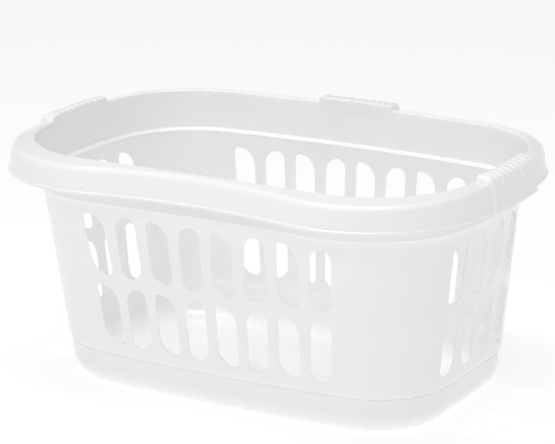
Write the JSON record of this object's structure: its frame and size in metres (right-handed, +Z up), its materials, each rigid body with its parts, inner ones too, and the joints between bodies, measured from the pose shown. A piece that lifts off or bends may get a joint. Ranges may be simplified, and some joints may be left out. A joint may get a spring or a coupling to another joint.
{
  "type": "laundry basket",
  "caption": "Open oblong plastic laundry basket with slotted tapering walls, a rolled rim hollowed at the front to sit on the hip, and three ribbed grips.",
  "frame": {"origin": "on the floor, at the middle of the plan box", "axes": "+X along the length to the right-hand grip, +Y to the straight back, -Y to the hollowed hip side, +Z up"},
  "size_m": [0.591, 0.4246, 0.2885],
  "materials": {
    "white_polypropylene": "satin injection-moulded polypropylene"
  },
  "bodies": {
    "root": {"base_tray": "white_polypropylene", "front_wall": "white_polypropylene", "back_wall": "white_polypropylene", "left_wall": "white_polypropylene", "right_wall": "white_polypropylene", "left_front_corner": "white_polypropylene", "right_front_corner": "white_polypropylene", "left_back_corner": "white_polypropylene", "right_back_corner": "white_polypropylene", "ledge": "white_polypropylene", "collar": "white_polypropylene", "front_skirt": "white_polypropylene", "back_skirt": "white_polypropylene", "left_skirt": "white_polypropylene", "right_skirt": "white_polypropylene", "left_front_skirt": "white_polypropylene", "right_front_skirt": "white_polypropylene", "left_back_skirt": "white_polypropylene", "right_back_skirt": "white_polypropylene", "rim": "white_polypropylene", "left_grip": "white_polypropylene", "right_grip": "white_polypropylene", "back_grip": "white_polypropylene"}
  },
  "joints": []
}
